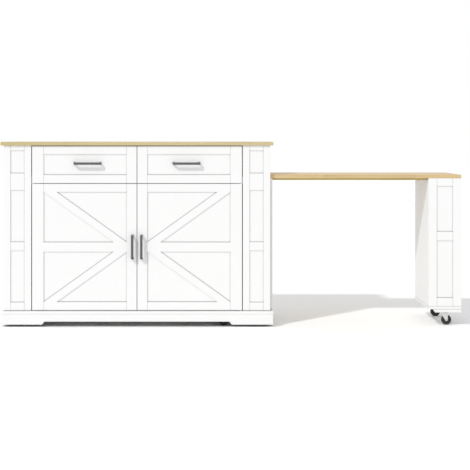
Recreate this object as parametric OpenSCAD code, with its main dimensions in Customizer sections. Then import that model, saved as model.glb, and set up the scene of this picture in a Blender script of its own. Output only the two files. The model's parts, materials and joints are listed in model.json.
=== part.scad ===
// Kitchen island with two drawers, a two-door cupboard and a table that slides out of its side.
// Millimetres. +X runs to the right along the island, +Y into the cabinet from its doors, +Z up.
// The origin is on the floor, in the middle of the island with its table out.

/* [Worktop] */
// Width of the worktop
top_w = 1350; // [1250:10:1500]
// Depth of the worktop
top_d = 463; // [450:1:560]
// Height of the worktop's upper face above the floor
top_h = 915; // [890:5:960]
// Thickness of the worktop
top_t = 18; // [15:1:28]
// How far the worktop stands out past the body's sides and back
top_overhang = 15; // [5:1:25]
// How far the worktop stands out past the doors and drawer fronts
top_front = 8; // [3:1:25]
// Depth of the two rails under the worktop
rail_d = 80; // [60:5:120]
// Distance of the worktop's screws from its middle
screw_x = 300; // [150:10:450]
// Diameter of those screws
screw_d = 4; // [3:0.5:6]
// How far they reach into the worktop
screw_bite = 10; // [8:1:13]
// Diameter of their heads
screw_head_d = 8; // [7:0.5:12]
// Thickness of their heads
screw_head_t = 2; // [1:0.5:3]

/* [Boards] */
// Thickness of the cabinet's inner and outer boards
board_t = 15; // [12:1:18]
// Thickness of the back panel
back_t = 12; // [6:1:15]
// How far the inner boards stand back behind the doors, so that the doors' outer corners can swing
board_back = 4; // [3.5:0.5:10]
// Thickness of the doors, drawer fronts and pilasters, and of the leg's front and rear
front_t = 18; // [16:1:22]
// Depth of the recessed panels in them
recess_d = 3.5; // [2:0.5:8]
// Width of the grooves that mark where stiles and rails meet
groove_w = 1.2; // [0.6:0.1:2]
// Depth of those grooves
groove_d = 0.8; // [0.4:0.1:1.5]

/* [Pilasters] */
// Width of a pilaster
pilaster_w = 136.5; // [120:0.5:150]
// Width of its recessed panels
pilaster_panel_w = 68; // [50:1:90]
// Height of its upper rail
pilaster_top_rail = 25; // [15:1:40]
// Height of its upper panel
pilaster_top_panel = 113; // [90:1:130]
// Height of the rail below that panel
pilaster_high_rail = 84; // [60:1:100]
// Height of its middle rail and of its bottom rail
pilaster_rail = 42; // [30:1:60]

/* [Doors and drawers] */
// Height of a drawer front
drawer_front_h = 183.5; // [170:0.5:195]
// Gap between a pilaster and the door or drawer front beside it
side_gap = 4; // [3.5:0.1:6]
// Gap between the two doors, and between the two drawer fronts
centre_gap = 3; // [2:0.5:5]
// Gap between the drawer fronts and the worktop
top_gap = 3.5; // [2:0.5:6]
// Gap above and below the doors
level_gap = 3; // [2.5:0.1:4]
// Width of a front's outer stile
outer_stile = 57.5; // [45:0.5:75]
// Width of a front's stile at the island's middle
inner_stile = 50; // [40:0.5:65]
// Height of a front's top and bottom rail
front_rail = 41; // [30:1:50]
// Height of a door's middle rail
mid_rail = 47; // [30:1:60]
// Width of a door's slanting braces
brace_w = 38; // [25:1:55]
// Distance of a door's pivot from its outer edge
pivot_in = 8; // [6:0.5:12]
// Distance of a door's pivot behind its face
pivot_back = 6; // [5:0.5:8]
// Diameter of the pivot pins
pivot_d = 5; // [4:0.5:6]
// How far a pivot pin reaches into its door
pivot_reach = 10; // [8:1:15]
// Radius of the pivot plates' round ends
pivot_plate_r = 5; // [4:0.5:6]
// Height of an upper pivot plate's angle on the pilaster
pivot_leg_h = 32; // [20:1:60]
// Width of the doors' catches
catch_w = 12; // [8:1:20]
// Length of the catches behind the doors
catch_l = 30; // [20:1:45]
// Height of the catches
catch_h = 14; // [8:1:20]
// Distance of the catches below the panel over the doors
catch_drop = 10; // [2:1:30]

/* [Handles] */
// Length of a drawer's handle
drawer_handle_l = 135; // [96:1:200]
// Length of a door's handle
door_handle_l = 118; // [96:1:200]
// Width of the handles' bar
handle_w = 12; // [8:0.5:18]
// Thickness of the handles' bar
handle_t = 6; // [4:0.5:8]
// How far a handle stands out from the face that it is fixed to
handle_reach = 28; // [24:1:40]
// Outer radius of the handles' bends
handle_bend = 9; // [8:0.5:14]
// How far a drawer's handle sits from its panel's middle, towards the island's middle
drawer_handle_shift = 12; // [0:1:30]
// How far a drawer's handle sits above its panel's middle
drawer_handle_rise = 6; // [0:1:10]
// Distance of a door's handle from the door's inner edge
door_handle_in = 21; // [15:1:35]

/* [Drawer boxes] */
// Length of a drawer box
drawer_l = 350; // [300:5:380]
// Thickness of a drawer box's walls
drawer_wall = 12; // [9:1:15]
// Thickness of a drawer box's bottom
drawer_floor = 5; // [3:1:8]
// Height of that bottom above the walls' lower edges
floor_lift = 6; // [2:1:12]
// Height of the box above the table's upper face
drawer_over_leaf = 12; // [8:1:20]
// Gap between the box and the rails above it
drawer_under_rail = 6; // [4:1:12]
// Space beside the box for its slides
slide_space = 13; // [12:0.5:16]
// Height of the slides
slide_h = 35; // [27:1:45]
// Thickness of the slides' metal
slide_t = 1.5; // [1:0.1:2]
// Distance of the slides' front ends behind the inner boards' front edges
slide_start = 8; // [2:1:20]
// Gap between the fixed slides' edges and the drawer box
slide_edge_gap = 3; // [2:0.5:6]

/* [Table] */
// How far the table stands out of the cabinet
leaf_out = 951; // [850:2:1000]
// Gap between the table's front edge and the pilaster's back
leaf_front_gap = 7; // [4:1:20]
// Height of the worktop's upper face above the table's
leaf_drop = 163; // [150:1:180]
// Thickness of the table's top
leaf_t = 18.5; // [15:0.5:22]
// Space left between the table's inner end and the cabinet's left part when it is pushed in
leaf_end_space = 54.5; // [20:0.5:80]
// Space around the table in the cabinet's slot
leaf_space = 3; // [2:0.5:5]
// Width of the runners under the table
runner_w = 40; // [25:1:60]
// Height of those runners
runner_h = 9.5; // [6:0.5:14]
// Distance of a runner from the table's front or back edge
runner_in = 30; // [20:1:60]
// Distance of the runners from the table's inner end
runner_end = 4; // [0:1:20]
// Thickness of the strips that the runners slide on
glide_t = 5; // [3:0.5:8]
// Width of those strips' guiding lip
glide_lip = 5; // [3:0.5:8]
// Height of that lip
glide_lip_h = 6; // [4:0.5:8]
// Distance of those strips from the left inner board
glide_in = 8; // [2:1:40]
// Length of the block and of the bar that stop the table when it is out
stop_l = 20; // [12:1:30]
// Width of that block and bar
stop_w = 120; // [60:5:180]
// Distance of the block from the table's inner end
stop_in = 6; // [0:1:20]
// Gap between the bar and the table above it
stop_under = 3; // [1:0.5:5]
// Thickness of the cover panel below the slot
cover_t = 12; // [6:1:18]
// Height of that panel's lower edge above the plinth
cover_lift = 9; // [3:1:20]

/* [Leg] */
// Width of the leg that carries the table
leg_w = 163.5; // [140:0.5:180]
// Width of its recessed panels
leg_panel_w = 79; // [60:1:100]
// Height of its upper rail
leg_top_rail = 39.5; // [25:0.5:55]
// Height of its upper panel
leg_top_panel = 226; // [180:1:280]
// Height of its middle rail
leg_mid_rail = 44; // [30:1:60]
// Height of its bottom rail
leg_low_rail = 42; // [30:1:60]
// Height of its base's upper band, on all four sides
leg_band_h = 14; // [10:1:25]
// Height of its base's lower band, which is cut back beside the cabinet
leg_foot_h = 16; // [10:1:25]
// How far that band is cut back from the leg's inner side
leg_foot_in = 24; // [16:1:40]
// Width of the slanted end of that cut
leg_foot_slant = 11; // [2:1:20]
// Distance of the leg's casters from its front and back
leg_caster_in = 48; // [35:1:70]

/* [Plinth] */
// Height of the plinth's upper face above the floor
plinth_h = 78; // [74:1:90]
// Height of the plinth's feet above the floor
plinth_lift = 12; // [6:1:16]
// How far the plinth stands out past the body
plinth_out = 13; // [8:1:20]
// Thickness of the plinth's boards
plinth_t = 15; // [12:1:18]
// Height of the moulding along the plinth's top
cap_h = 15; // [10:1:20]
// How far that moulding stands out past the plinth's face
cap_out = 1; // [0:0.5:2]
// Width of the plinth's feet
foot_w = 202; // [120:2:260]
// Height of the arch between the feet
arch_h = 15; // [8:1:25]
// Width of the arch's slanted ends
arch_ease = 16; // [8:1:40]

/* [Shelves] */
// Height of a shelf's upper face above the floor
shelf_h = 395; // [250:5:560]
// Thickness of the shelves
shelf_t = 15; // [12:1:18]
// Gap at a shelf's ends
shelf_gap = 1; // [0.5:0.5:3]
// Distance of a shelf's front edge behind the inner boards' front edges
shelf_front_in = 8; // [2:1:60]
// Gap between a shelf and the back panel
shelf_rear_gap = 3; // [1:1:20]
// Distance of the shelf pins from a shelf's front and rear edge
shelf_pin_in = 45; // [25:5:120]
// Diameter of the shelf pins
shelf_pin_d = 5; // [4:0.5:6]
// Length of a shelf pin on each side of its board's face
shelf_pin_l = 8; // [6:0.5:9]

/* [Casters] */
// Height of a caster with its plate
caster_h = 67; // [66:1:78]
// Diameter of a wheel
wheel_d = 50; // [44:1:52]
// Width of a wheel
wheel_w = 17; // [14:0.5:20]
// Distance of a wheel's axle from its swivel's axis
trail = 15; // [12:0.5:22]
// Diameter of the axles
axle_d = 6; // [4:0.5:8]
// Diameter of the king pins
king_d = 8; // [6:0.5:10]
// Radius of the round ends of a fork's arms
fork_tip_r = 6.5; // [6:0.5:10]
// Thickness of a fork's arms and of a caster's plate
fork_t = 2.5; // [2:0.1:4]
// Gap between a wheel and its fork's arms
arm_gap = 1; // [0.8:0.1:2]
// Side of a caster's square plate
plate_w = 42; // [36:1:50]
// Radius of the bearing cup under the plate, and of the fork's crown
cup_r = 12; // [11:0.5:18]
// Height of the cup
cup_t = 4; // [3:0.5:6]
// Thickness of the crown
crown_t = 4; // [3:0.5:5]
// Thickness of the king pin's head
king_head_t = 3; // [2:0.5:3.5]
// How far that head stands out past the king pin
king_head_out = 2.5; // [1:0.5:3]
// Thickness of the axles' heads
axle_head_t = 1.5; // [1:0.5:3]
// How far those heads stand out past the axle
axle_head_out = 2; // [1:0.5:4]
// Width of the eased edges of a tyre
tyre_ease = 3; // [1:0.5:6]
// Width of a wheel's hub around its axle
hub_w = 3; // [2:0.5:6]
// How far the hub stands out past the tyre
hub_out = 0.5; // [0.2:0.1:0.7]
// Distance of the left casters' swivels from the body's left side
caster_left_in = 67; // [60:1:120]
// Distance of the right casters' swivels from the body's right side
caster_right_in = 246; // [150:1:300]
// Gap between a swivelling wheel and the plinth
caster_space = 3.2; // [2:0.1:10]

/* [Hidden] */
$fn = 64;

// Colours
white = [0.95, 0.95, 0.94];
inner_white = [0.90, 0.90, 0.89];
oak = [0.87, 0.77, 0.58];
dark_oak = [0.72, 0.62, 0.42];
handle_grey = [0.40, 0.40, 0.40];
zinc = [0.75, 0.76, 0.78];
nylon = [0.88, 0.88, 0.85];
fork_white = [0.90, 0.90, 0.90];
black = [0.10, 0.10, 0.11];

// Clearance between a pin and its bore, on the radius
running = 0.05;
// Clearance between faces that slide on each other
glide_gap = 0.3;
// Clearance between a part and a face that it comes to rest against
seat_gap = 0.5;
// Clearance between boards that meet in one sub-part, so that each stays a piece of its own
joint_gap = 0.1;
// How far a cutter reaches past the face that it cuts
cut = 1;

// Body
body_w = top_w - 2 * top_overhang;
body_d = top_d - top_front - top_overhang;
left = -body_w / 2;
right = body_w / 2;
front = -body_d / 2;
rear = body_d / 2;
under_top = top_h - top_t;
behind_fronts = front + front_t;
inner_front = behind_fronts + board_back;
inner_rear = rear - back_t;
bay_left = left + pilaster_w;
rail_z = under_top - board_t;
screw_places = [
  for (x = [-screw_x, screw_x], y = [inner_front + rail_d / 2, inner_rear - rail_d / 2]) [x, y]
];

// Levels of the fronts
drawer_z1 = under_top - top_gap;
drawer_z0 = drawer_z1 - drawer_front_h;
door_z1 = drawer_z0 - level_gap;
door_z0 = plinth_h + level_gap;
front_x0 = bay_left + side_gap;
front_x1 = -centre_gap / 2;
field_x = [front_x0 + outer_stile, front_x1 - inner_stile];
drawer_field_z = [drawer_z0 + front_rail, drawer_z1 - front_rail];
door_field_z = [door_z0 + front_rail, door_z1 - front_rail];

// Braces: each lower edge starts in the field's outer corner, and the brace's middle
// line ends at the middle rail's height on the inner stile
field_w = field_x[1] - field_x[0];
field_h = (door_field_z[1] - door_field_z[0]) / 2;
field_mid = (door_field_z[0] + door_field_z[1]) / 2;
brace_run = field_h + brace_w / 2 / cos(atan(field_h / field_w));
brace_angle = atan(brace_run / field_w);

// Pilaster panels, from the top down; the two lower ones share what is left
pilaster_z = [
  under_top - pilaster_top_rail,
  under_top - pilaster_top_rail - pilaster_top_panel,
  under_top - pilaster_top_rail - pilaster_top_panel - pilaster_high_rail,
  plinth_h + pilaster_rail
];
pilaster_low_panel = (pilaster_z[2] - pilaster_z[3] - pilaster_rail) / 2;
pilaster_fields = [
  [pilaster_z[1], pilaster_z[0]],
  [pilaster_z[2] - pilaster_low_panel, pilaster_z[2]],
  [pilaster_z[3], pilaster_z[3] + pilaster_low_panel]
];

// Table, its leg and its guides
leaf_h = top_h - leaf_drop;
leaf_z0 = leaf_h - leaf_t;
leaf_x1 = right + leaf_out;
leg_x0 = leaf_x1 - leg_w;
leaf_travel = leg_x0 - right - max(cover_t, plinth_out + cap_out) - seat_gap;
leaf_x0 = bay_left + leaf_end_space + leaf_travel;
leaf_front = behind_fronts + leaf_front_gap;
runner_z0 = leaf_z0 - runner_h;
bay_z1 = runner_z0 - glide_gap - glide_t;
bay_z0 = bay_z1 - board_t;
runner_y = [leaf_front + runner_in, leaf_front + runner_in + runner_w];
guide_y = [runner_y[0] - seat_gap - glide_lip, runner_y[1]];
slot_z = [leaf_z0 - seat_gap, leaf_h + leaf_space];
stop_x0 = leaf_x0 + stop_in;
leg_band_z = caster_h + leg_foot_h;
leg_base_z = leg_band_z + leg_band_h;
leg_field_x = [leg_x0 + (leg_w - leg_panel_w) / 2, leg_x0 + (leg_w + leg_panel_w) / 2];
leg_field_z1 = leaf_z0 - leg_top_rail;
leg_fields = [
  [leg_field_z1 - leg_top_panel, leg_field_z1],
  [leg_base_z + leg_low_rail, leg_field_z1 - leg_top_panel - leg_mid_rail]
];

// Drawer boxes and slides
box_z0 = leaf_h + drawer_over_leaf;
box_z1 = rail_z - drawer_under_rail;
box_x = [bay_left + slide_space, -board_t / 2 - slide_space];
box_y = [behind_fronts, behind_fronts + drawer_l];
slide_z = (box_z0 + box_z1) / 2;
slide_y = [inner_front + slide_start, box_y[1]];

// Door hardware
pivot_x = front_x0 + pivot_in;
pivot_y = front + pivot_back;
pivot_plate_t = level_gap - 2 * seat_gap;
pivot_leg_t = side_gap / 2;
catch_z1 = min(bay_z0, door_z1) - catch_drop;

// Plinth: its front outline, with an arch whose slanted ends are smooth curves
function ogee(t) = (1 - cos(180 * t)) / 2;
arch_steps = 8;
arch_x0 = left - plinth_out + foot_w;
arch_points = [
  for (i = [0 : arch_steps], t = i / arch_steps) [arch_x0 + arch_ease * t, plinth_lift + arch_h * ogee(t)]
];
plinth_outline = concat(
  [[left - plinth_out, plinth_lift]],
  arch_points,
  [for (i = [arch_steps : -1 : 0]) [-arch_points[i][0], arch_points[i][1]]],
  [[right + plinth_out, plinth_lift], [right + plinth_out, plinth_h - cap_h],
   [left - plinth_out, plinth_h - cap_h]]
);

// Shelves
shelf_y = [inner_front + shelf_front_in, inner_rear - shelf_rear_gap];
shelf_pin_y = [shelf_y[0] + shelf_pin_in, shelf_y[1] - shelf_pin_in];
shelf_pin_z = shelf_h - shelf_t - shelf_pin_d / 2;

// Casters: wheels turn about axles along Y, forks about upright king pins
cup_z0 = caster_h - fork_t - cup_t;
crown_z1 = cup_z0 - glide_gap;
crown_z0 = crown_z1 - crown_t;
king_head_z = [crown_z0 - glide_gap - king_head_t, crown_z0 - glide_gap];
wheel_r = wheel_d / 2;
arm_y = wheel_w / 2 + arm_gap;
axle_y = arm_y + fork_t + axle_head_t;
sweep_r = norm([trail + wheel_r, wheel_w / 2]);
caster_y = front - plinth_out + plinth_t + sweep_r + caster_space;
cabinet_casters = [
  [left + caster_left_in, caster_y], [right - caster_right_in, caster_y],
  [left + caster_left_in, -caster_y], [right - caster_right_in, -caster_y]
];
leg_casters = [
  [leg_x0 + leg_w / 2, leaf_front + leg_caster_in],
  [leg_x0 + leg_w / 2, -leaf_front - leg_caster_in]
];
casters = concat(cabinet_casters, leg_casters);

// Middle of the island's footprint, where the origin is
origin_x = (left - top_overhang + leaf_x1) / 2;
origin_y = (front - max(handle_reach, top_front) + rear + top_overhang) / 2;

// ---- Shapes that repeat ----

// Moves what is drawn about the cabinet's middle to the island's own origin
module placed() {
  translate([-origin_x, -origin_y, 0]) children();
}

// A left-hand piece, or its mirror image on the right
module on_side(side) {
  mirror([side == "right" ? 1 : 0, 0, 0]) children();
}

// A board between two values along each axis
module board(x, y, z) {
  translate([x[0], y[0], z[0]]) cube([x[1] - x[0], y[1] - y[0], z[1] - z[0]]);
}

// A prism whose outline lies in the X-Z plane, from y0 to y1
module upright_prism(points, y) {
  translate([0, y[1], 0]) rotate([90, 0, 0]) linear_extrude(y[1] - y[0]) polygon(points);
}

// Recessed panels and joint grooves, cut into a front whose face is at y
module field_cuts(y, z, field_x, fields) {
  for (f = fields) board(field_x, [y - cut, y + recess_d], f);
  joint_grooves(y, z, field_x);
}

// Upright grooves along the stiles' edges
module joint_grooves(y, z, field_x) {
  for (x = field_x) {
    board([x - groove_w / 2, x + groove_w / 2], [y - cut, y + groove_d], [z[0] - cut, z[1] + cut]);
  }
}

// The bent bar of a handle: its length runs along X and it stands out along -Y
module handle_bar(length) {
  inner_r = handle_bend - handle_t;
  mirror([0, 1, 0]) translate([-length / 2, 0, -handle_w / 2]) linear_extrude(handle_w) difference() {
    union() {
      square([length, handle_reach - handle_bend]);
      translate([handle_bend, 0]) square([length - 2 * handle_bend, handle_reach]);
      for (x = [handle_bend, length - handle_bend]) {
        translate([x, handle_reach - handle_bend]) circle(handle_bend);
      }
    }
    translate([handle_t, -cut]) square([length - 2 * handle_t, handle_reach - handle_bend + cut]);
    translate([handle_bend, -cut]) square([length - 2 * handle_bend, handle_reach - handle_t + cut]);
    for (x = [handle_bend, length - handle_bend]) {
      translate([x, handle_reach - handle_bend]) circle(inner_r);
    }
  }
}

// An upright cylinder from one height to another
module post(x, y, z, r) {
  translate([x, y, z[0]]) cylinder(r = r, h = z[1] - z[0]);
}

// ---- Cabinet ----

module countertop() {
  color(oak) placed() difference() {
    board([left - top_overhang, right + top_overhang],
          [front - top_front, rear + top_overhang], [under_top, top_h]);
    for (p = screw_places) {
      post(p[0], p[1], [under_top - cut, under_top + screw_bite + running], screw_d / 2 + running);
    }
  }
}

module top_rails() {
  color(inner_white) placed() difference() {
    for (y = [inner_front, inner_rear - rail_d]) {
      board([bay_left, -bay_left], [y, y + rail_d], [rail_z, under_top]);
    }
    for (p = screw_places) {
      post(p[0], p[1], [rail_z - cut, under_top + cut], screw_d / 2 + running);
    }
  }
}

module countertop_screws() {
  color(zinc) placed() for (p = screw_places) {
    post(p[0], p[1], [rail_z - screw_head_t / 2, under_top + screw_bite], screw_d / 2);
    post(p[0], p[1], [rail_z - screw_head_t, rail_z], screw_head_d / 2);
  }
}

module left_side_panel() {
  color(white) placed() board([left, left + board_t], [behind_fronts, rear], [plinth_h, under_top]);
}

// The opening that the table, its runners and their guides pass through
module leaf_slot(x) {
  board([x[0] - cut, x[1] + cut], [behind_fronts - cut, -leaf_front + leaf_space], slot_z);
  for (side = [0, 1]) mirror([0, side, 0]) {
    board([x[0] - cut, x[1] + cut], [guide_y[0], guide_y[1] + seat_gap], [bay_z1, slot_z[0] + cut]);
  }
}

module right_side_panel() {
  x = [right - board_t, right];
  color(white) placed() difference() {
    board(x, [behind_fronts, rear], [plinth_h, under_top]);
    leaf_slot(x);
  }
}

module side_cover_panel() {
  x = [right, right + cover_t];
  color(white) placed() difference() {
    board(x, [leaf_front, -leaf_front], [plinth_h + cover_lift, leaf_z0 - seat_gap]);
    for (side = [0, 1]) mirror([0, side, 0]) {
      board([x[0] - cut, x[1] + cut], [runner_y[0] - seat_gap, runner_y[1] + seat_gap],
            [runner_z0 - seat_gap, leaf_z0]);
    }
  }
}

// Holes for the shelf pins in a face at x; dir is +1 where the board lies towards +X
module shelf_pin_holes(x, dir) {
  for (y = shelf_pin_y) {
    translate([x - dir * cut, y, shelf_pin_z]) rotate([0, dir * 90, 0])
      cylinder(r = shelf_pin_d / 2 + running, h = shelf_pin_l + running + cut);
  }
}

module left_inner_panel() {
  color(inner_white) placed() difference() {
    board([bay_left - board_t, bay_left], [behind_fronts, inner_rear], [caster_h + board_t, under_top]);
    shelf_pin_holes(bay_left, -1);
  }
}

module right_inner_panel() {
  x = [-bay_left, -bay_left + board_t];
  color(inner_white) placed() difference() {
    board(x, [behind_fronts, inner_rear], [caster_h + board_t, under_top]);
    leaf_slot(x);
    shelf_pin_holes(-bay_left, 1);
  }
}

module pilaster(side) {
  edge = (pilaster_w - pilaster_panel_w) / 2;
  color(white) placed() on_side(side) difference() {
    board([left, bay_left], [front, behind_fronts], [plinth_h, under_top]);
    field_cuts(front, [plinth_h, under_top], [left + edge, bay_left - edge], pilaster_fields);
  }
}
module left_pilaster() pilaster("left");
module right_pilaster() pilaster("right");

module back_panel() {
  color(white) placed()
    board([left + board_t, right - board_t], [inner_rear, rear], [plinth_h, under_top]);
}

module bottom_panel() {
  color(inner_white) placed()
    board([left + board_t, right - board_t], [inner_front, inner_rear], [caster_h, caster_h + board_t]);
}

module leaf_bay_panel() {
  color(inner_white) placed() board([bay_left, -bay_left], [inner_front, inner_rear], [bay_z0, bay_z1]);
}

module drawer_divider() {
  color(inner_white) placed()
    board([-board_t / 2, board_t / 2], [inner_front, inner_rear], [slot_z[1], rail_z]);
}

module compartment_divider() {
  color(inner_white) placed() difference() {
    board([-board_t / 2, board_t / 2], [inner_front, inner_rear], [caster_h + board_t, bay_z0]);
    // The two sides' pins share their holes, which go right through
    for (y = shelf_pin_y) {
      translate([-board_t / 2 - cut, y, shelf_pin_z]) rotate([0, 90, 0])
        cylinder(r = shelf_pin_d / 2 + running, h = board_t + 2 * cut);
    }
  }
}

module shelves() {
  color(inner_white) placed() for (side = ["left", "right"]) on_side(side) {
    board([bay_left + shelf_gap, -board_t / 2 - shelf_gap], shelf_y, [shelf_h - shelf_t, shelf_h]);
  }
}

module shelf_pins() {
  color(zinc) placed() for (y = shelf_pin_y) {
    for (side = ["left", "right"]) on_side(side) {
      translate([bay_left - shelf_pin_l, y, shelf_pin_z]) rotate([0, 90, 0])
        cylinder(d = shelf_pin_d, h = 2 * shelf_pin_l);
    }
    translate([-board_t / 2 - shelf_pin_l, y, shelf_pin_z]) rotate([0, 90, 0])
      cylinder(d = shelf_pin_d, h = board_t + 2 * shelf_pin_l);
  }
}

module plinth_front() {
  color(white) placed() upright_prism(plinth_outline, [front - plinth_out, front - plinth_out + plinth_t]);
}

module plinth_rear() {
  color(white) placed() upright_prism(plinth_outline, [rear + plinth_out - plinth_t, rear + plinth_out]);
}

module plinth_sides() {
  y = rear + plinth_out - plinth_t;
  color(white) placed() for (side = ["left", "right"]) on_side(side) {
    board([left - plinth_out, left - plinth_out + plinth_t], [-y, y], [plinth_lift, plinth_h - cap_h]);
  }
}

module plinth_cap() {
  out = plinth_out + cap_out;
  z = [plinth_h - cap_h, plinth_h];
  color(white) placed() {
    board([left - out, right + out], [front - out, behind_fronts], z);
    board([left - out, right + out], [inner_rear, rear + out], z);
    for (side = ["left", "right"]) on_side(side) {
      board([left - out, left + board_t], [behind_fronts + joint_gap, inner_rear - joint_gap], z);
    }
  }
}

// Two strips with a guiding lip, and the bar that stops the table when it is out
module leaf_guides() {
  color(nylon) placed() {
    for (side = [0, 1]) mirror([0, side, 0]) {
      translate([bay_left + glide_in, 0, 0]) rotate([90, 0, 90])
        linear_extrude(right - bay_left - glide_in) polygon([
          [guide_y[0], bay_z1], [guide_y[1], bay_z1], [guide_y[1], bay_z1 + glide_t],
          [guide_y[0] + glide_lip, bay_z1 + glide_t],
          [guide_y[0] + glide_lip, bay_z1 + glide_t + glide_lip_h],
          [guide_y[0], bay_z1 + glide_t + glide_lip_h]
        ]);
    }
    board([stop_x0 + stop_l + glide_gap, stop_x0 + 2 * stop_l], [-stop_w / 2, stop_w / 2],
          [bay_z1, leaf_z0 - stop_under]);
  }
}

// The fixed halves of the drawer slides, open towards the drawer
module drawer_rails() {
  h = slide_h / 2;
  w = slide_space - slide_edge_gap;
  x_faces = [bay_left, -board_t / 2];
  color(zinc) placed() for (side = ["left", "right"]) on_side(side) {
    for (i = [0, 1]) translate([x_faces[i], 0, slide_z]) mirror([i, 0, 0]) {
      board([0, slide_t], slide_y, [-h, h]);
      for (z = [-h, h - slide_t]) board([slide_t, w], slide_y, [z, z + slide_t]);
    }
  }
}

// Upper angles on the pilasters' edges and lower plates on the plinth, with their pins
module door_pivots() {
  r = pivot_d / 2;
  plate_z = [door_z1 + seat_gap, door_z1 + seat_gap + pivot_plate_t];
  color(zinc) placed() for (side = ["left", "right"]) on_side(side) {
    board([bay_left, pivot_x], [pivot_y - pivot_plate_r, pivot_y + pivot_plate_r], plate_z);
    board([bay_left, bay_left + pivot_leg_t], [pivot_y, pivot_y + pivot_plate_r],
          [plate_z[0], plate_z[0] + pivot_leg_h]);
    post(pivot_x, pivot_y, plate_z, pivot_plate_r);
    post(pivot_x, pivot_y, [door_z1 - pivot_reach, plate_z[1]], r);
    post(pivot_x, pivot_y, [plinth_h, door_z0 - seat_gap], pivot_plate_r);
    post(pivot_x, pivot_y, [plinth_h, door_z0 + pivot_reach], r);
  }
}

module door_catches() {
  color(nylon) placed() for (side = ["left", "right"]) on_side(side) {
    board([-board_t / 2 - catch_w, -board_t / 2], [behind_fronts + glide_gap, behind_fronts + catch_l],
          [catch_z1 - catch_h, catch_z1]);
  }
}

// ---- Drawers ----

module drawer_front(side) {
  color(white) placed() on_side(side) difference() {
    board([front_x0, front_x1], [front, behind_fronts], [drawer_z0, drawer_z1]);
    field_cuts(front, [drawer_z0, drawer_z1], field_x, [drawer_field_z]);
  }
}
module left_drawer_front() drawer_front("left");
module right_drawer_front() drawer_front("right");

module drawer_box(side) {
  wall = drawer_wall + joint_gap;
  inner_x = [box_x[0] + wall, box_x[1] - wall];
  inner_y = [box_y[0] + wall, box_y[1] - wall];
  color(inner_white) placed() on_side(side) {
    board([box_x[0], box_x[0] + drawer_wall], box_y, [box_z0, box_z1]);
    board([box_x[1] - drawer_wall, box_x[1]], box_y, [box_z0, box_z1]);
    board(inner_x, [box_y[0], box_y[0] + drawer_wall], [box_z0, box_z1]);
    board(inner_x, [box_y[1] - drawer_wall, box_y[1]], [box_z0, box_z1]);
    board(inner_x, inner_y, [box_z0 + floor_lift, box_z0 + floor_lift + drawer_floor]);
  }
}
module left_drawer_box() drawer_box("left");
module right_drawer_box() drawer_box("right");

module drawer_handle(side) {
  color(handle_grey) placed() on_side(side)
    translate([
      (field_x[0] + field_x[1]) / 2 + drawer_handle_shift,
      front + recess_d,
      (drawer_field_z[0] + drawer_field_z[1]) / 2 + drawer_handle_rise
    ]) handle_bar(drawer_handle_l);
}
module left_drawer_handle() drawer_handle("left");
module right_drawer_handle() drawer_handle("right");

// The sliding halves of the drawer slides, inside the fixed ones
module drawer_runners(side) {
  h = slide_h / 2 - slide_t - glide_gap;
  x_faces = [box_x[0], box_x[1]];
  color(zinc) placed() on_side(side) for (i = [0, 1]) translate([x_faces[i], 0, slide_z]) mirror([i, 0, 0]) {
    board([-slide_t, 0], slide_y, [-h, h]);
    for (z = [-h, h - slide_t]) {
      board([-slide_space + slide_t + seat_gap, -slide_t], slide_y, [z, z + slide_t]);
    }
  }
}
module left_drawer_runners() drawer_runners("left");
module right_drawer_runners() drawer_runners("right");

// ---- Doors ----

// The two recessed triangles beside the upper brace; the lower two are their mirror image
module brace_fields(y) {
  x0 = field_x[0];
  x1 = field_x[1];
  z_top = field_mid + field_h;
  z_rail = field_mid + mid_rail / 2;
  slope = tan(brace_angle);
  brace_x = x0 + brace_w / sin(brace_angle);
  upright_prism([[x0, z_rail], [x0 + (z_top - z_rail) / slope, z_rail], [x0, z_top]], y);
  upright_prism([[brace_x, z_top], [x1, z_top - (x1 - brace_x) * slope], [x1, z_top]], y);
}

module door(side) {
  r = pivot_d / 2 + running;
  color(white) placed() on_side(side) difference() {
    board([front_x0, front_x1], [front, behind_fronts], [door_z0, door_z1]);
    brace_fields([front - cut, front + recess_d]);
    translate([0, 0, 2 * field_mid]) mirror([0, 0, 1]) brace_fields([front - cut, front + recess_d]);
    joint_grooves(front, [door_z0, door_field_z[0]], field_x);
    joint_grooves(front, [door_field_z[1], door_z1], field_x);
    post(pivot_x, pivot_y, [door_z0 - cut, door_z0 + pivot_reach + cut], r);
    post(pivot_x, pivot_y, [door_z1 - pivot_reach - cut, door_z1 + cut], r);
  }
}
module left_door() door("left");
module right_door() door("right");

module door_handle(side) {
  color(handle_grey) placed() on_side(side)
    translate([front_x1 - door_handle_in, front, field_mid]) rotate([0, -90, 0]) handle_bar(door_handle_l);
}
module left_door_handle() door_handle("left");
module right_door_handle() door_handle("right");

// ---- Table and leg ----

module leaf_top() {
  color(oak) placed() board([leaf_x0, leaf_x1], [leaf_front, -leaf_front], [leaf_z0, leaf_h]);
}

module leaf_runners() {
  color(dark_oak) placed() for (side = [0, 1]) mirror([0, side, 0]) {
    board([leaf_x0 + runner_end, leg_x0], runner_y, [runner_z0, leaf_z0]);
  }
}

module leaf_stop_block() {
  color(dark_oak) placed()
    board([stop_x0, stop_x0 + stop_l], [-stop_w / 2, stop_w / 2], [runner_z0, leaf_z0]);
}

module leg_front() {
  color(white) placed() difference() {
    board([leg_x0, leaf_x1], [leaf_front, leaf_front + front_t], [leg_base_z, leaf_z0]);
    field_cuts(leaf_front, [leg_base_z, leaf_z0], leg_field_x, leg_fields);
  }
}

module leg_rear() {
  color(white) placed()
    board([leg_x0, leaf_x1], [-leaf_front - front_t, -leaf_front], [leg_base_z, leaf_z0]);
}

module leg_inner_panel() {
  y = -leaf_front - front_t;
  color(white) placed() board([leg_x0, leg_x0 + board_t], [-y, y], [leg_base_z, leaf_z0]);
}

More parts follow.
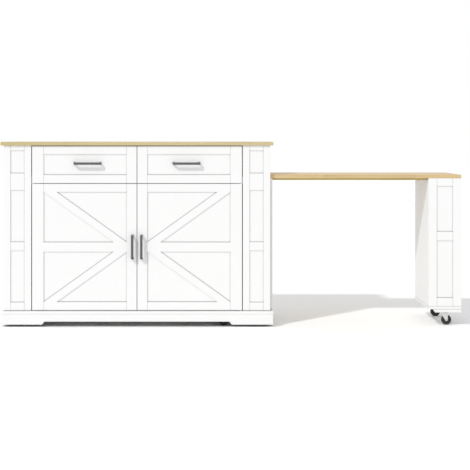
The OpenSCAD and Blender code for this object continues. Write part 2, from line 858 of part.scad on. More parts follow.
module leg_outer_panel() {
  y = -leaf_front - front_t;
  color(white) placed() board([leaf_x1 - board_t, leaf_x1], [-y, y], [leg_base_z, leaf_z0]);
}

// Four boards around the leg's foot, with a groove along their top and one between the two bands;
// the lower band is cut back beside the cabinet
module leg_base() {
  y = -leaf_front - front_t;
  side_y = y - joint_gap;
  foot_x = leg_x0 + leg_foot_in;
  groove_z = [leg_band_z - groove_w, leg_base_z - groove_w];
  outline = [
    [leg_x0, leg_base_z], [leg_x0, leg_band_z], [foot_x, leg_band_z],
    [foot_x + leg_foot_slant, caster_h], [leaf_x1, caster_h], [leaf_x1, leg_base_z]
  ];
  color(white) placed() difference() {
    union() {
      for (y0 = [leaf_front, y]) upright_prism(outline, [y0, y0 + front_t]);
      board([leg_x0, leg_x0 + board_t], [-side_y, side_y], [leg_band_z, leg_base_z]);
      board([leaf_x1 - board_t, leaf_x1], [-side_y, side_y], [caster_h, leg_base_z]);
    }
    for (z = groove_z) difference() {
      board([leg_x0 - cut, leaf_x1 + cut], [leaf_front - cut, -leaf_front + cut], [z, z + groove_w]);
      board([leg_x0 + groove_d, leaf_x1 - groove_d], [leaf_front + groove_d, -leaf_front - groove_d],
            [z - cut, z + groove_w + cut]);
    }
  }
}

// The leg's bottom, with a block over each of its casters
module leg_bottom_panel() {
  y = -leaf_front - front_t;
  color(inner_white) placed() {
    board([leg_x0 + board_t, leaf_x1 - board_t], [-y, y], [leg_band_z, leg_base_z]);
    for (at = leg_casters) {
      board([at[0] - plate_w / 2, at[0] + plate_w / 2], [at[1] - plate_w / 2, at[1] + plate_w / 2],
            [caster_h, leg_base_z]);
    }
  }
}

// ---- Casters ----

// A plate with its bearing cup and the king pin that holds the fork
module caster_plate(at) {
  translate([at[0], at[1], 0]) {
    board([-plate_w / 2, plate_w / 2], [-plate_w / 2, plate_w / 2], [caster_h - fork_t, caster_h]);
    post(0, 0, [cup_z0, caster_h - fork_t], cup_r);
    post(0, 0, [king_head_z[0], cup_z0], king_d / 2);
    post(0, 0, king_head_z, king_d / 2 + king_head_out);
  }
}

module caster_plates() {
  color(zinc) placed() for (at = cabinet_casters) caster_plate(at);
}

module leg_caster_plates() {
  color(zinc) placed() for (at = leg_casters) caster_plate(at);
}

// A crown that turns on the king pin, two arms that narrow towards the axle, and the axle
module caster_fork(at) {
  arm_x1 = trail + fork_tip_r;
  // The arm's slanting edge runs from the crown to where it meets the round end
  reach = [trail + cup_r, crown_z0 - wheel_r];
  turn = 180 - atan(reach[1] / reach[0]) + acos(fork_tip_r / norm(reach));
  slant_end = [trail + fork_tip_r * cos(turn), wheel_r + fork_tip_r * sin(turn)];
  color(fork_white) placed() translate([at[0], at[1], 0]) {
    difference() {
      union() {
        post(0, 0, [crown_z0, crown_z1], cup_r);
        board([0, arm_x1], [-arm_y - fork_t, arm_y + fork_t], [crown_z0, crown_z1]);
        for (y = [-arm_y - fork_t, arm_y]) {
          upright_prism([
            [-cup_r, crown_z1], [-cup_r, crown_z0], slant_end, [arm_x1, wheel_r], [arm_x1, crown_z1]
          ], [y, y + fork_t]);
          translate([trail, y, wheel_r]) rotate([-90, 0, 0]) cylinder(r = fork_tip_r, h = fork_t);
        }
      }
      post(0, 0, [crown_z0 - cut, crown_z1 + cut], king_d / 2 + running);
    }
    translate([trail, -axle_y, wheel_r]) rotate([-90, 0, 0]) cylinder(d = axle_d, h = 2 * axle_y);
    for (y = [-axle_y, axle_y - axle_head_t]) {
      translate([trail, y, wheel_r]) rotate([-90, 0, 0])
        cylinder(r = axle_d / 2 + axle_head_out, h = axle_head_t);
    }
  }
}
module caster_fork_1() caster_fork(casters[0]);
module caster_fork_2() caster_fork(casters[1]);
module caster_fork_3() caster_fork(casters[2]);
module caster_fork_4() caster_fork(casters[3]);
module caster_fork_5() caster_fork(casters[4]);
module caster_fork_6() caster_fork(casters[5]);

// A tyre with eased edges on a hub that stands out a little at the axle
module caster_wheel(at) {
  bore_r = axle_d / 2 + running;
  hub_r = axle_d / 2 + hub_w;
  half = wheel_w / 2;
  hub = half + hub_out;
  color(black) placed() translate([at[0] + trail, at[1], wheel_r]) rotate([90, 0, 0]) rotate_extrude()
    polygon([
      [bore_r, -hub], [hub_r, -hub], [hub_r, -half], [wheel_r - tyre_ease, -half],
      [wheel_r, -half + tyre_ease], [wheel_r, half - tyre_ease], [wheel_r - tyre_ease, half],
      [hub_r, half], [hub_r, hub], [bore_r, hub]
    ]);
}
module caster_wheel_1() caster_wheel(casters[0]);
module caster_wheel_2() caster_wheel(casters[1]);
module caster_wheel_3() caster_wheel(casters[2]);
module caster_wheel_4() caster_wheel(casters[3]);
module caster_wheel_5() caster_wheel(casters[4]);
module caster_wheel_6() caster_wheel(casters[5]);

countertop();
top_rails();
countertop_screws();
left_side_panel();
right_side_panel();
side_cover_panel();
left_inner_panel();
right_inner_panel();
left_pilaster();
right_pilaster();
back_panel();
bottom_panel();
leaf_bay_panel();
drawer_divider();
compartment_divider();
shelves();
shelf_pins();
plinth_front();
plinth_rear();
plinth_sides();
plinth_cap();
leaf_guides();
drawer_rails();
door_pivots();
door_catches();
caster_plates();
left_drawer_front();
left_drawer_box();
left_drawer_handle();
left_drawer_runners();
right_drawer_front();
right_drawer_box();
right_drawer_handle();
right_drawer_runners();
left_door();
left_door_handle();
right_door();
right_door_handle();
leaf_top();
leaf_runners();
leaf_stop_block();
leg_front();
leg_rear();
leg_inner_panel();
leg_outer_panel();
leg_base();
leg_bottom_panel();
leg_caster_plates();
caster_fork_1();
caster_fork_2();
caster_fork_3();
caster_fork_4();
caster_fork_5();
caster_fork_6();
caster_wheel_1();
caster_wheel_2();
caster_wheel_3();
caster_wheel_4();
caster_wheel_5();
caster_wheel_6();
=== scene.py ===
import json
import math

import bmesh
import bpy
from mathutils import Matrix, Vector

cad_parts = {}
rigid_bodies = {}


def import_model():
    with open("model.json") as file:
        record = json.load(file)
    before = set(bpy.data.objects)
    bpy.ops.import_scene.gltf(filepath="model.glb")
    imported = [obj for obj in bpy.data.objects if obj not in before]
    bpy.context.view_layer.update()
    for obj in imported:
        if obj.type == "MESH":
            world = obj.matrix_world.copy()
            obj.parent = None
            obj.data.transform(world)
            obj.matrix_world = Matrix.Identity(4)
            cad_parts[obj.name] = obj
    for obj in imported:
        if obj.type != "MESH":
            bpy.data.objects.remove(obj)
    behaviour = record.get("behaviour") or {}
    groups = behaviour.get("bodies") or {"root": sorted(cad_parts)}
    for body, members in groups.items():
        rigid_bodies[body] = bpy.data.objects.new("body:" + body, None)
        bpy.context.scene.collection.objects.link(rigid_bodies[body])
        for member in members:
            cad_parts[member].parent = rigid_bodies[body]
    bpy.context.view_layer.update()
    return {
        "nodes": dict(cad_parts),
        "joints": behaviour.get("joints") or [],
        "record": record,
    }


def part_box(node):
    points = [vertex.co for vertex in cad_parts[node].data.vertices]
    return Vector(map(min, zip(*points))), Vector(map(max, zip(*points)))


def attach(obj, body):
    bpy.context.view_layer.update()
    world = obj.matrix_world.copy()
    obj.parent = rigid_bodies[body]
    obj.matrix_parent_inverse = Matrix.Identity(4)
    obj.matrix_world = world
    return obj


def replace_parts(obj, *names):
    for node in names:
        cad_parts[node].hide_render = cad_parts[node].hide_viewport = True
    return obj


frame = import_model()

NODES = frame["nodes"]
JOINTS = {joint["name"]: joint for joint in frame["joints"]}
MM = 0.001

# Directions; the doors face forward
UP = (0, 0, 1)
DOWN = (0, 0, -1)
FORWARD = (0, -1, 0)
BACKWARD = (0, 1, 0)

# Colours, as linear values
WHITE = (0.87, 0.87, 0.867)
INNER_WHITE = (0.84, 0.84, 0.83)
TOP_LIGHT = (0.625, 0.52, 0.287)
TOP_DARK = (0.47, 0.375, 0.187)
TOP_TINT_LEFT = (0.94, 0.95, 0.88)
TOP_TINT_RIGHT = (1.05, 1.06, 1.15)
LEAF_LIGHT = (0.665, 0.495, 0.262)
LEAF_DARK = (0.50, 0.342, 0.158)
RUNNER_LIGHT = (0.64, 0.53, 0.18)
RUNNER_DARK = (0.43, 0.33, 0.105)
HANDLE = (0.117, 0.117, 0.118)
ZINC = (0.62, 0.63, 0.65)
NYLON = (0.78, 0.78, 0.74)
FORK_WHITE = (0.90, 0.90, 0.895)
HUB_BLACK = (0.040, 0.040, 0.042)
RUBBER = (0.022, 0.022, 0.023)
FLOOR = (0.93, 0.93, 0.93)
FLOOR_SEEN = (1.01, 1.01, 1.01)
BLACK = (0, 0, 0)

# Surfaces: the range that a noise mostly keeps to, the depth of a fine texture, and the
# share of open surroundings at which the painted shade in creases is full and at which it is gone
NOISE_LOW = 0.3
NOISE_HIGH = 0.7
FINE_DEPTH = 0.0002
CREASE_SHADE_FULL = 0.40
CREASE_SHADE_GONE = 0.92
CREASE_SHADE_SAMPLES = 8

# Key light: the way it travels, read from the edges of the shadow on the floor, and its
# width, from how softly the shadow's far corner fades
SUN_WAY = (0.785, 0.885, -1.0)
SUN_STRENGTH = 1.50
SUN_ANGLE = math.radians(3.2)
SKY_STRENGTH = 0.74
SKY_SEEN = 1.0
FLOOR_HALF = 30

# Camera: the photograph's viewpoint, from where its receding edges meet
IMAGE_W = 470
METRES_PER_PIXEL = 0.00495
CAMERA_DISTANCE = 6.1
CAMERA_HEIGHT = 0.940
CAMERA_FROM_CABINET = 0.3366
CAMERA_REACH = 100
VANISHING_PX = (205, 136.8)
SENSOR = 36


# ---- Materials ----

class Shader:
    """A node material on a Principled shader, with short calls that add and link nodes."""

    def __init__(self, name, roughness=0.5, metallic=0.0):
        self.material = bpy.data.materials.new(name)
        self.material.use_nodes = True
        self.tree = self.material.node_tree
        self.bsdf = self.tree.nodes["Principled BSDF"]
        self.bsdf.inputs["Roughness"].default_value = roughness
        self.bsdf.inputs["Metallic"].default_value = metallic
        self.where = self.add("ShaderNodeTexCoord").outputs["Object"]

    def add(self, kind, inputs=None, **settings):
        """A new node: inputs are values or the sockets that feed it."""
        node = self.tree.nodes.new(kind)
        for key, value in settings.items():
            setattr(node, key, value)
        for key, value in (inputs or {}).items():
            if isinstance(value, bpy.types.NodeSocket):
                self.tree.links.new(value, node.inputs[key])
            else:
                node.inputs[key].default_value = value
        return node

    def math(self, operation, a, b=0.0):
        return self.add("ShaderNodeMath", {0: a, 1: b}, operation=operation).outputs[0]

    def vector_math(self, operation, *vectors):
        sockets = dict(enumerate(vectors))
        return self.add("ShaderNodeVectorMath", sockets, operation=operation).outputs[0]

    def stretched(self, scale, offset=None):
        """Object coordinates, moved by the offset and scaled along each axis."""
        at = self.where
        if offset is not None:
            at = self.vector_math("ADD", at, offset)
        return self.vector_math("MULTIPLY", at, scale)

    def noise(self, vector, scale=1.0, detail=2.0, distortion=0.0):
        sockets = {"Vector": vector, "Scale": scale, "Detail": detail, "Distortion": distortion}
        return self.add("ShaderNodeTexNoise", sockets).outputs[0]

    def remap(self, value, low, high, to_low, to_high):
        sockets = {0: value, 1: low, 2: high, 3: to_low, 4: to_high}
        return self.add("ShaderNodeMapRange", sockets).outputs[0]

    def spread(self, noise, to_low, to_high):
        """A noise's usual range, taken to the given one."""
        return self.remap(noise, NOISE_LOW, NOISE_HIGH, to_low, to_high)

    def mix(self, factor, a, b, blend="MIX"):
        """A mix of two colours; the node's colour sockets are inputs 6 and 7 and output 2."""
        node = self.add("ShaderNodeMix", {0: factor}, data_type="RGBA", blend_type=blend)
        for index, value in ((6, a), (7, b)):
            if isinstance(value, bpy.types.NodeSocket):
                self.tree.links.new(value, node.inputs[index])
            else:
                node.inputs[index].default_value = (*value, 1)
        return node.outputs[2]

    def painted_crease_shade(self, reach, strength, settle=0.0):
        """Painted shade: 0 on open faces, rising to strength in corners narrower than reach.

        With settle above 0 the corners over ledges count more than those under them, so the
        painted shade falls mostly along lower edges."""
        sockets = {"Distance": reach}
        if settle > 0:
            normal = self.add("ShaderNodeNewGeometry").outputs["Normal"]
            lowered = self.vector_math("ADD", normal, (0, 0, -settle))
            sockets["Normal"] = self.vector_math("NORMALIZE", lowered)
        node = self.add("ShaderNodeAmbientOcclusion", sockets, samples=CREASE_SHADE_SAMPLES)
        return self.remap(node.outputs["AO"], CREASE_SHADE_FULL, CREASE_SHADE_GONE, strength, 0.0)

    def colour(self, socket):
        self.tree.links.new(socket, self.bsdf.inputs["Base Color"])

    def roughness(self, socket):
        self.tree.links.new(socket, self.bsdf.inputs["Roughness"])

    def bump(self, height, strength, distance=FINE_DEPTH):
        sockets = {"Height": height, "Strength": strength, "Distance": distance}
        node = self.add("ShaderNodeBump", sockets)
        self.tree.links.new(node.outputs["Normal"], self.bsdf.inputs["Normal"])


def darker(colour, share):
    """The colour times a share; a share above 1 lightens it."""
    return tuple(channel * share for channel in colour)


def paint(name, colour, roughness=0.42, crease_shade=1.0, grain=420):
    """Sprayed paint: a fine orange peel, faint tone changes, and painted shade darkening its
    corners and recess edges.
    """
    s = Shader(name)
    tone = s.mix(s.noise(s.where, scale=5, detail=3), darker(colour, 0.985), colour)
    # Painted shade: corners and recess edges darkened, most along lower edges
    corner_shade = s.painted_crease_shade(reach=0.006, strength=crease_shade, settle=0.6)
    s.colour(s.mix(corner_shade, tone, darker(colour, 0.30)))
    s.roughness(s.spread(s.noise(s.where, scale=60), roughness - 0.05, roughness + 0.06))
    s.bump(s.noise(s.where, scale=grain), strength=0.05)
    return s.material


def melamine(name, colour):
    """Foil-faced board with a pearl texture."""
    s = Shader(name)
    pearl = s.noise(s.where, scale=900, detail=1)
    tone = s.mix(pearl, darker(colour, 0.97), colour)
    # Painted shade: the board darkened in its corners
    s.colour(s.mix(s.painted_crease_shade(reach=0.010, strength=0.25), tone, darker(colour, 0.5)))
    s.roughness(s.spread(pearl, 0.42, 0.55))
    s.bump(pearl, strength=0.12)
    return s.material


def staves(name, light, dark, stave_w=0.042, stave_l=0.46, drift=None):
    """Solid wood glued up from staves that run along X, each with its own tone and grain.

    drift is (x0, x1, tint at x0, tint at x1): a slow change of tone along the board."""
    row_shift = 7.3
    seam_half = 0.0002
    seam_edge = 0.0006
    s = Shader(name)
    axes = s.add("ShaderNodeSeparateXYZ", {0: s.where}).outputs
    across = s.math("DIVIDE", axes[1], stave_w)
    row = s.math("FLOOR", across)
    shift = s.add("ShaderNodeTexWhiteNoise", {"W": row}, noise_dimensions="1D").outputs[0]
    shifted = s.math("MULTIPLY", shift, row_shift)
    along = s.math("ADD", s.math("DIVIDE", axes[0], stave_l), shifted)
    column = s.math("FLOOR", along)
    stave = s.add("ShaderNodeCombineXYZ", {0: row, 1: column, 2: 0.5}).outputs[0]
    chance = s.add("ShaderNodeTexWhiteNoise", {"Vector": stave}, noise_dimensions="3D").outputs

    # Grain: growth rings with streaks in them, pores over both, and each stave's own tone
    rings = s.noise(s.stretched((1.6, 22, 34), chance[1]), detail=4, distortion=0.8)
    streaks = s.noise(s.stretched((5, 260, 320), chance[1]), detail=3)
    pores = s.noise(s.stretched((28, 900, 1100), chance[1]), detail=1)
    figure = s.math("ADD", s.math("MULTIPLY", rings, 0.7), s.math("MULTIPLY", streaks, 0.3))
    wood = s.mix(s.remap(figure, 0.32, 0.66, 0.0, 1.0), dark, light)
    wood = s.mix(s.remap(pores, 0.60, 0.75, 0.0, 0.35), wood, darker(dark, 0.6))
    toned = s.mix(s.remap(chance[0], 0.0, 1.0, 0.0, 0.45), wood, darker(light, 1.06))
    if drift is not None:
        x0, x1, tint0, tint1 = drift
        tint = s.mix(s.remap(axes[0], x0, x1, 0.0, 1.0), tint0, tint1)
        toned = s.mix(1.0, toned, tint, "MULTIPLY")

    # Glue lines: the distance to the nearest side or end of the stave
    side = s.math("MULTIPLY", s.math("PINGPONG", across, 0.5), stave_w)
    end = s.math("MULTIPLY", s.math("PINGPONG", along, 0.5), stave_l)
    seam = s.remap(s.math("MINIMUM", side, end), seam_half, seam_edge, 0.5, 0.0)
    seamed = s.mix(seam, toned, darker(dark, 0.55))
    # Painted shade: the wood darkened in its corners
    s.colour(s.mix(s.painted_crease_shade(reach=0.006, strength=0.3), seamed, darker(dark, 0.4)))
    s.roughness(s.spread(streaks, 0.36, 0.50))
    height = s.math("SUBTRACT", s.math("MULTIPLY", pores, -0.4), seam)
    s.bump(height, strength=0.10, distance=0.0004)
    return s.material


def lacquered(name, colour, roughness, metallic):
    """Lacquered metal: fine lines along X and patches that differ in gloss."""
    s = Shader(name, metallic=metallic)
    lines = s.noise(s.stretched((40, 900, 900)))
    patches = s.noise(s.where, scale=45)
    tone = s.mix(lines, darker(colour, 0.90), darker(colour, 1.08))
    # Painted shade: the metal darkened in its corners
    s.colour(s.mix(s.painted_crease_shade(reach=0.004, strength=0.3), tone, darker(colour, 0.35)))
    s.roughness(s.spread(patches, roughness - 0.06, roughness + 0.08))
    s.bump(lines, strength=0.06)
    return s.material


def plated(name, colour):
    """Zinc plating, with faint crystal patches."""
    s = Shader(name, metallic=1.0)
    cells = s.add("ShaderNodeTexVoronoi", {"Vector": s.where, "Scale": 230}).outputs["Color"]
    flake = s.add("ShaderNodeSeparateColor", {0: cells}).outputs[0]
    s.colour(s.mix(flake, darker(colour, 0.88), darker(colour, 1.06)))
    s.roughness(s.remap(flake, 0.0, 1.0, 0.26, 0.42))
    s.bump(s.noise(s.where, scale=300), strength=0.04)
    return s.material


def moulded(name, colour, roughness):
    """Moulded plastic with a spark-eroded texture."""
    s = Shader(name)
    fine = s.noise(s.where, scale=1300, detail=1)
    tone = s.mix(fine, darker(colour, 0.95), colour)
    # Painted shade: the plastic darkened in its corners
    s.colour(s.mix(s.painted_crease_shade(reach=0.005, strength=0.3), tone, darker(colour, 0.4)))
    s.roughness(s.spread(fine, roughness - 0.05, roughness + 0.07))
    s.bump(fine, strength=0.10)
    return s.material


def rubber(name, colour):
    """Dull rubber, with a trace of dust."""
    s = Shader(name)
    dust = s.noise(s.where, scale=130, detail=4)
    fine = s.noise(s.where, scale=1500, detail=1)
    s.colour(s.mix(s.remap(dust, 0.50, 0.80, 0.0, 0.5), colour, darker(colour, 2.6)))
    s.roughness(s.spread(dust, 0.50, 0.68))
    s.bump(fine, strength=0.15)
    return s.material


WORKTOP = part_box("countertop")
TOP_DRIFT = (WORKTOP[0][0], WORKTOP[1][0], TOP_TINT_LEFT, TOP_TINT_RIGHT)
MATERIALS = {
    "white_paint": paint("white_paint", WHITE),
    "white_board": melamine("white_board", INNER_WHITE),
    "oak": staves("worktop_wood", TOP_LIGHT, TOP_DARK, drift=TOP_DRIFT),
    "table_oak": staves("table_wood", LEAF_LIGHT, LEAF_DARK, stave_w=0.039),
    "dark_oak": staves("runner_wood", RUNNER_LIGHT, RUNNER_DARK, stave_w=0.06, stave_l=1.9),
    "zinc": plated("zinc_plating", ZINC),
    "handle_grey": lacquered("handle_lacquer", HANDLE, roughness=0.42, metallic=0.35),
    "nylon": moulded("nylon", NYLON, roughness=0.5),
    "caster_white": paint("caster_white", FORK_WHITE, roughness=0.36, crease_shade=0.2, grain=900),
    "hub": moulded("hub_plastic", HUB_BLACK, roughness=0.45),
    "tyre": rubber("tyre_rubber", RUBBER),
}

# Pieces whose material isn't the one that their slot names
NODE_MATERIAL = {"leaf_top": "table_oak"}


# ---- Building pieces ----

WELD_REACH = 0.00001
SHARP_EDGE = math.radians(30)


def ease(obj, width, segments=2):
    """Rounds every sharp edge by the given width."""
    weld = obj.modifiers.new("weld", "WELD")
    weld.merge_threshold = WELD_REACH
    bevel = obj.modifiers.new("bevel", "BEVEL")
    bevel.limit_method = "ANGLE"
    bevel.angle_limit = SHARP_EDGE
    bevel.width = width
    bevel.segments = segments
    bevel.use_clamp_overlap = True
    normals = obj.modifiers.new("normals", "WEIGHTED_NORMAL")
    normals.keep_sharp = True


def dress(obj, body, slot, material=None, soften=0.0):
    """Gives a new piece the material that its slot or material names, and its body, and eases its
    edges when soften is given.
    """
    obj.data.materials.clear()
    obj.data.materials.append(MATERIALS[material or slot])
    if soften:
        ease(obj, soften)
    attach(obj, body)
    return obj


def mesh_object(name, vertices, faces, smooth=False):
    """An object made of the given faces, with its normals turned outward."""
    mesh = bpy.data.meshes.new(name)
    mesh.from_pydata([tuple(v) for v in vertices], [], faces)
    outward = bmesh.new()
    outward.from_mesh(mesh)
    bmesh.ops.recalc_face_normals(outward, faces=outward.faces)
    outward.to_mesh(mesh)
    outward.free()
    for polygon in mesh.polygons:
        polygon.use_smooth = smooth
    obj = bpy.data.objects.new(name, mesh)
    bpy.context.scene.collection.objects.link(obj)
    return obj


def joined(name, parts, smooth=True):
    """One mesh out of several (vertices, faces) pairs."""
    vertices = []
    faces = []
    for part_vertices, part_faces in parts:
        start = len(vertices)
        vertices += part_vertices
        faces += [[start + i for i in face] for face in part_faces]
    return mesh_object(name, vertices, faces, smooth)


def circle(steps):
    """The (cosine, sine) of evenly spaced directions round a circle."""
    angles = [2 * math.pi * i / steps for i in range(steps)]
    return [(math.cos(a), math.sin(a)) for a in angles]


def arc(centre, r, start, stop, steps):
    """Points on an arc, in degrees."""
    points = []
    for i in range(steps + 1):
        a = math.radians(start + (stop - start) * i / steps)
        points.append((centre[0] + r * math.cos(a), centre[1] + r * math.sin(a)))
    return points


def facing(axis):
    """The rotation that takes Z to the given direction."""
    return Vector(UP).rotation_difference(Vector(axis)).to_matrix()


def ring_faces(rings, steps, closed=False):
    """Quads between rings of steps points each, one ring after another in the vertex list."""
    faces = []
    for j in range(rings if closed else rings - 1):
        k = (j + 1) % rings
        for i in range(steps):
            n = (i + 1) % steps
            faces.append([j * steps + i, j * steps + n, k * steps + n, k * steps + i])
    return faces


def turned(profile, centre, axis, steps, closed=False):
    """The profile's points (radius, height) swept round an axis; heights run along the axis.

    A closed profile makes a ring, and an open one is capped at both ends."""
    turn = facing(axis)
    around = circle(steps)
    vertices = [Vector(centre) + turn @ Vector((r * c, r * s, h))
                for r, h in profile for c, s in around]
    faces = ring_faces(len(profile), steps, closed)
    if not closed:
        last = (len(profile) - 1) * steps
        faces += [list(range(steps)), list(range(last, last + steps))]
    return vertices, faces


def extruded(outline, low, high, place):
    """A closed outline of (u, v) points between two depths.

    place maps (u, v, depth) to a point."""
    count = len(outline)
    vertices = [place(u, v, depth) for depth in (low, high) for u, v in outline]
    faces = [list(range(count)), list(range(count, 2 * count))]
    return vertices, faces + ring_faces(2, count)


def screw_head(at, out, r, rise):
    """A domed head with a cross recess, standing on a face whose outward direction is out."""
    steps = 32
    rings = 9
    fall = 0.92
    cross_half = 0.13
    cross_reach = 0.62
    cross_depth = rise * 0.55
    middle = rise * 0.35
    sunk = 0.2 * MM
    around = circle(steps)
    points = [(0, 0, middle)]
    for j in range(1, rings + 1):
        share = j / rings
        dome = rise * math.sqrt(1.0 - fall * share * share)
        for c, s in around:
            x = share * c
            y = share * s
            in_cross = min(abs(x), abs(y)) < cross_half and share < cross_reach
            points.append((r * x, r * y, dome - cross_depth if in_cross else dome))
    points += [(r * c, r * s, -sunk) for c, s in around]
    turn = facing(out)
    vertices = [Vector(at) + turn @ Vector(point) for point in points]
    faces = [[0, 1 + i, 1 + (i + 1) % steps] for i in range(steps)]
    faces += [[1 + i for i in face] for face in ring_faces(rings + 1, steps)]
    faces.append([1 + rings * steps + i for i in range(steps)])
    return vertices, faces


def screws(name, places, out, body, r, rise):
    heads = [screw_head(at, out, r, rise) for at in places]
    dress(joined(name, heads), body, "zinc")


# ---- Carried-over CAD pieces: materials and eased edges ----

EASE = {
    "white_paint": 1.0 * MM, "white_board": 0.5 * MM, "oak": 1.6 * MM, "dark_oak": 1.2 * MM,
    "zinc": 0.3 * MM, "handle_grey": 0.9 * MM, "nylon": 0.6 * MM, "caster_white": 0.4 * MM,
    "tyre": 0.4 * MM,
}
WELL_ROUNDED = ("oak", "handle_grey")


def dress_nodes():
    for entry in frame["record"]["subparts"]:
        node = NODES[entry["node"]]
        slot = entry["material_slot"]
        material = MATERIALS[NODE_MATERIAL.get(node.name, slot)]
        node.data.materials.clear()
        node.data.materials.append(material)
        ease(node, EASE[slot], segments=3 if slot in WELL_ROUNDED else 2)


# ---- Plinth moulding ----

def plinth_moulding():
    """The moulding along the plinth's top: a ring with mitred corners and a rounded edge."""
    low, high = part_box("plinth_cap")
    inner = 20 * MM
    height = high[2] - low[2]
    round_r = 3 * MM
    quirk = 1 * MM
    # Up the inside, over the rounded upper edge, down the face and in to the plinth's face
    profile = [(inner, 0), (inner, height)]
    profile += arc((round_r, height - round_r), round_r, 90, 180, steps=6)
    profile += [(0, quirk), (quirk, 0)]
    corners = [(low[0], low[1], 1, 1), (high[0], low[1], -1, 1),
               (high[0], high[1], -1, -1), (low[0], high[1], 1, -1)]
    vertices = [(x + dx * inset, y + dy * inset, low[2] + v)
                for x, y, dx, dy in corners for inset, v in profile]
    faces = ring_faces(len(corners), len(profile), closed=True)
    piece = mesh_object("plinth_moulding", vertices, faces)
    dress(piece, "cabinet", "white_paint", soften=0.3 * MM)
    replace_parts(piece, "plinth_cap")


# ---- Casters ----

CASTERS = 6
WHEEL_R = 25 * MM
WHEEL_HALF = 8.5 * MM
TYRE_T = 11 * MM
TYRE_SEAT_HALF = WHEEL_HALF * 0.80
AXLE_R = 3 * MM
FORK_T = 2.5 * MM
ARM_Y = WHEEL_HALF + 1 * MM
PLATE_T = 2.5 * MM
CUP_T = 4 * MM
CROWN_T = 4 * MM
CROWN_IN = 0.15 * MM
PIN_R = 4.05 * MM


def tyre(name, centre, body):
    """A tyre with a crowned tread, rounded shoulders and a moulding ridge in the middle."""
    r = WHEEL_R
    half = WHEEL_HALF
    inner = r - TYRE_T
    bead = 1.2 * MM
    bead_half = half * 0.96
    shoulder = 4.5 * MM
    shoulder_steps = 6
    crown = 0.15 * MM
    crown_half = half * 0.3
    ridge = 0.3 * MM
    side = [(inner, -TYRE_SEAT_HALF), (inner + bead, -bead_half), (r - shoulder, -half)]
    for i in range(1, shoulder_steps):
        a = math.pi / 2 * i / shoulder_steps
        side.append((r - shoulder + shoulder * math.sin(a), -half + shoulder * (1 - math.cos(a))))
    tread = [(r - crown, -crown_half), (r, -ridge), (r, ridge), (r - crown, crown_half)]
    profile = side + tread + [(p, -h) for p, h in side[::-1]]
    vertices, faces = turned(profile, centre, BACKWARD, steps=72, closed=True)
    return dress(mesh_object(name, vertices, faces, smooth=True), body, "tyre")


def hub(name, centre, body):
    """A plastic hub: a rim, a dished web with ribs, and a boss at the axle."""
    half = WHEEL_HALF
    bore = 3.05 * MM
    boss = 6 * MM
    boss_half = half + 0.45 * MM
    web_half = 2.2 * MM
    draft = 0.4 * MM
    rim = WHEEL_R - TYRE_T
    rim_in = rim - 2.2 * MM
    rim_half = half * 0.86
    rim_edge = 0.3 * MM
    side = [(bore, boss_half), (boss, boss_half), (boss + draft, half),
            (boss + 2 * draft, web_half), (rim_in - draft, web_half), (rim_in, rim_half),
            (rim - rim_edge, rim_half), (rim, TYRE_SEAT_HALF)]
    profile = side + [(r, -h) for r, h in side[::-1]]
    parts = [turned(profile, centre, BACKWARD, steps=48, closed=True)]
    ribs = 6
    rib_half = 0.8 * MM
    rib_top = half * 0.75
    rib_foot = web_half - 0.2 * MM
    outline = [(boss, -rib_half), (rim_in, -rib_half), (rim_in, rib_half), (boss, rib_half)]
    for i in range(ribs):
        turn = Matrix.Rotation(math.radians(360 / ribs * i), 3, "Y")
        for y0, y1 in ((rib_foot, rib_top), (-rib_top, -rib_foot)):
            parts.append(extruded(outline, y0, y1,
                                  lambda u, v, d: Vector(centre) + turn @ Vector((u, d, v))))
    dress(joined(name, parts), body, "caster_white", material="hub", soften=0.25 * MM)


def fork_crown(name, swivel, reach, z, body):
    """The fork's crown: a plate round the king pin, with a round end and a square one."""
    steps = 48
    near_zero = 0.001
    half = ARM_Y + FORK_T - CROWN_IN
    outer = []
    inner = []
    for c, s in circle(steps):
        r = half if c < near_zero else min(reach / c, half / max(abs(s), near_zero))
        outer.append((swivel.x + r * c, swivel.y + r * s))
        inner.append((swivel.x + PIN_R * c, swivel.y + PIN_R * s))
    rings = [(outer, z[0]), (outer, z[1]), (inner, z[1]), (inner, z[0])]
    vertices = [(x, y, height) for ring, height in rings for x, y in ring]
    faces = ring_faces(len(rings), steps, closed=True)
    dress(mesh_object(name, vertices, faces), body, "caster_white", soften=0.4 * MM)


def fork(name, swivel, axle, body, box):
    """A pressed fork: two arms that narrow from the crown to a round end at the axle."""
    low, high = box
    left = low[0] - swivel.x
    right = high[0] - swivel.x
    crown_z1 = high[2]
    crown_z0 = crown_z1 - CROWN_T
    arm_z1 = crown_z1 - 0.2 * MM
    tip = (axle.x - swivel.x, axle.z)
    tip_r = right - tip[0]
    # The slanting edge leaves the crown's lower corner and touches the round end
    run = (left - tip[0], crown_z0 - tip[1])
    start = math.degrees(math.atan2(run[1], run[0]) + math.acos(tip_r / math.hypot(*run)))
    outline = arc(tip, tip_r, start, 360, steps=16)
    outline += [(right, arm_z1), (left, arm_z1), (left, crown_z0)]
    parts = [extruded(outline, y0, y0 + FORK_T,
                      lambda u, v, d: Vector((swivel.x + u, swivel.y + d, v)))
             for y0 in (-ARM_Y - FORK_T, ARM_Y)]
    arms = dress(joined(name + "_arms", parts), body, "caster_white", soften=0.6 * MM)
    fork_crown(name + "_crown", swivel, right - CROWN_IN, (crown_z0, crown_z1), body)
    return arms


